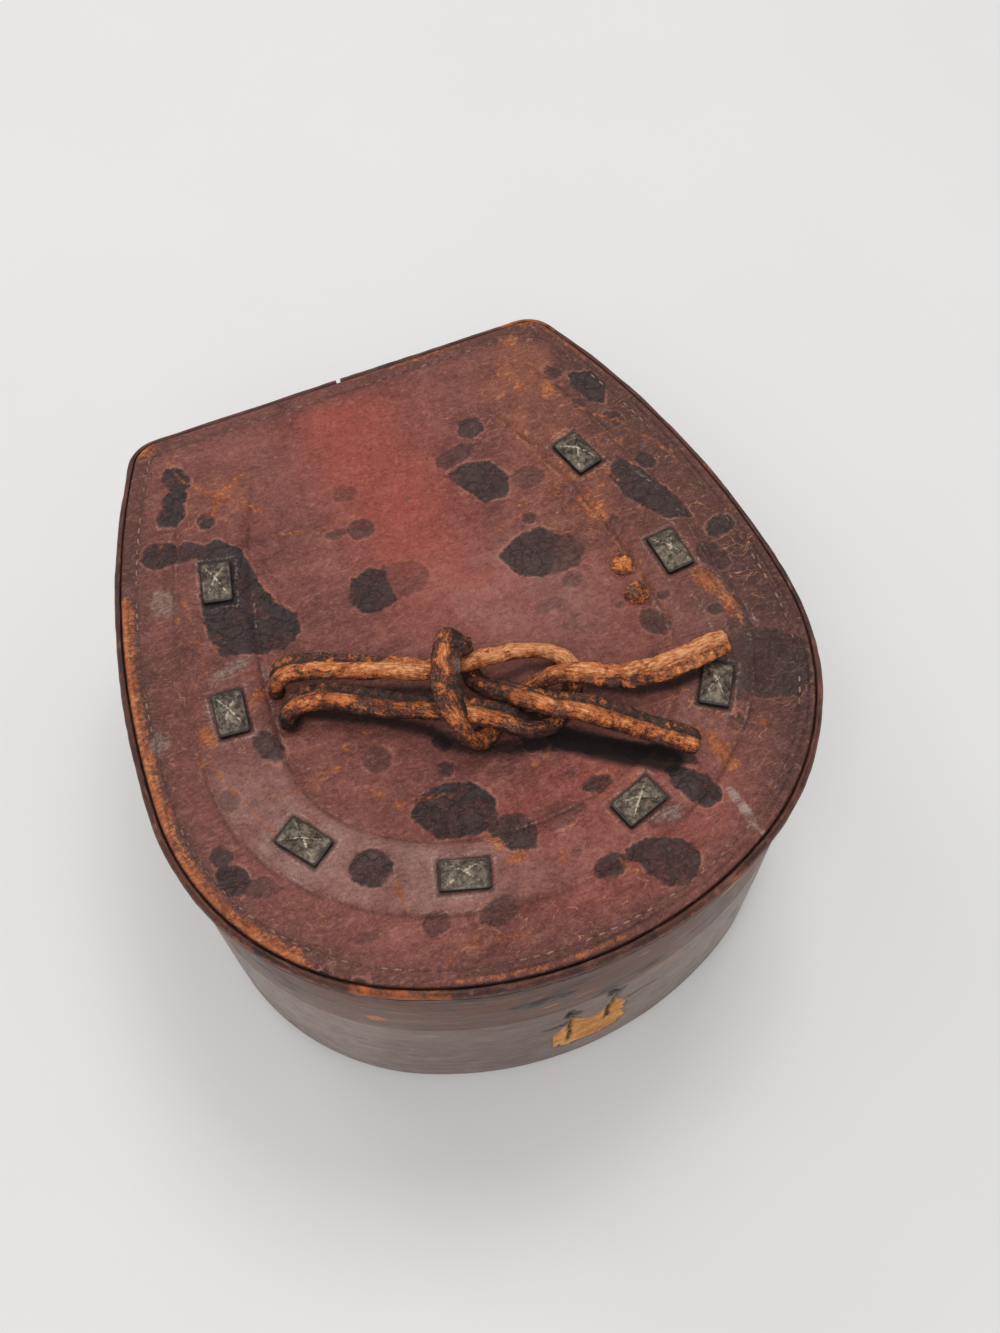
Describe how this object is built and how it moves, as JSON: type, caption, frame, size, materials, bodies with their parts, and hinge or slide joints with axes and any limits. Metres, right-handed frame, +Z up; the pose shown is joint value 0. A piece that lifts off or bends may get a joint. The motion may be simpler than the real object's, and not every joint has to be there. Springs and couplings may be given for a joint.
{
  "type": "collar box",
  "caption": "Horseshoe-shaped leather collar box with a hinged lid, a raised studded horseshoe and a knotted leather thong on top.",
  "frame": {"origin": "under the middle of the outline, on the surface that the box stands on", "axes": "+Z up, +Y towards the flat heel with the hinge, -Y towards the round toe, +X to the right seen from the toe"},
  "size_m": [0.17, 0.1788, 0.1093],
  "materials": {
    "sole_leather": "matt, dry",
    "pasteboard": "pressed grey-brown board",
    "side_leather": "smooth, polished, scuffed",
    "edge_leather": "rubbed through to orange on its crown",
    "top_leather": "grained, stained and cracked",
    "thong_leather": "rolled, stitched, worn to tan",
    "stud_metal": "dull, tarnished, rubbed on its ridges",
    "lining_cloth": "fine cotton, aged",
    "wadding": "loose cotton",
    "thread": "waxed linen, dull"
  },
  "bodies": {
    "base": {"base_sole": "sole_leather", "base_board": "pasteboard", "base_wall_board": "pasteboard", "base_leather": "side_leather", "base_collar": "pasteboard", "base_wall_lining": "lining_cloth", "base_floor_card": "lining_cloth", "hinge_base_flap": "edge_leather"},
    "lid": {"lid_board": "pasteboard", "lid_skirt_board": "pasteboard", "lid_skirt_leather": "side_leather", "lid_rim_band": "edge_leather", "horseshoe_form": "pasteboard", "lid_top_leather": "top_leather", "lid_seam_thread": "thread", "horseshoe_studs": "stud_metal", "thong_left": "thong_leather", "thong_right": "thong_leather", "thong_stubs": "thong_leather", "thong_washers": "thong_leather", "lid_wadding": "wadding", "lid_ceiling_card": "pasteboard", "lid_ceiling_lining": "lining_cloth", "lid_skirt_lining": "lining_cloth", "hinge_lid_flap": "edge_leather"}
  },
  "joints": [
    {"name": "lid_hinge", "type": "hinge", "parent": "base", "child": "lid", "pos_m": [0, 0.08937, 0.0561], "axis": [-1, 0, 0], "range_deg": [0, 175]}
  ]
}
